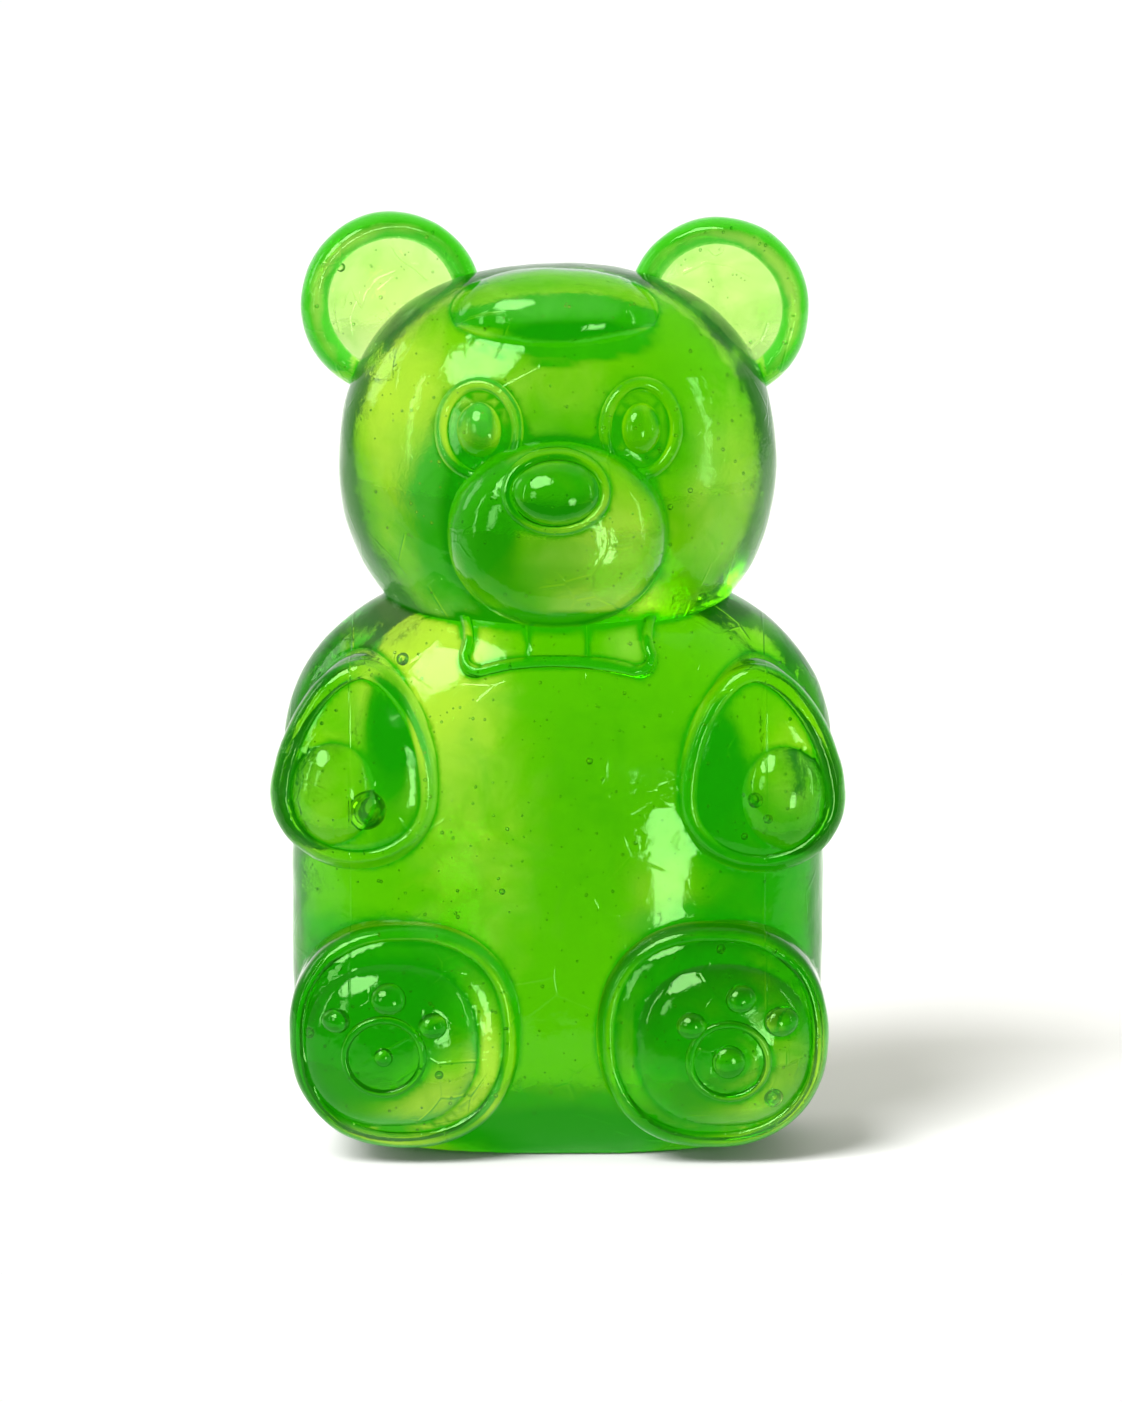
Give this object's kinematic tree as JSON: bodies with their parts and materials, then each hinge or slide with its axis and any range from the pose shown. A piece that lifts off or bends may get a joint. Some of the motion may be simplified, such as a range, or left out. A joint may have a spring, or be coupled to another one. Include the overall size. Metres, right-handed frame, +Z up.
{
  "type": "gummy bear",
  "caption": "Giant moulded clear green jelly bear sitting upright, with dished round ears, ringed eyes, a bow tie, round paws and domed soles on a flat base.",
  "frame": {"origin": "centre of the bounding box, on the underside of the flat base", "axes": "+Z up to the ears, -Y out of the face, +X to the right of someone facing the bear"},
  "size_m": [0.1456, 0.0918, 0.2386],
  "materials": {
    "green_jelly": "clear gloss"
  },
  "bodies": {
    "root": {"gummy_bear": "green_jelly"}
  },
  "joints": []
}
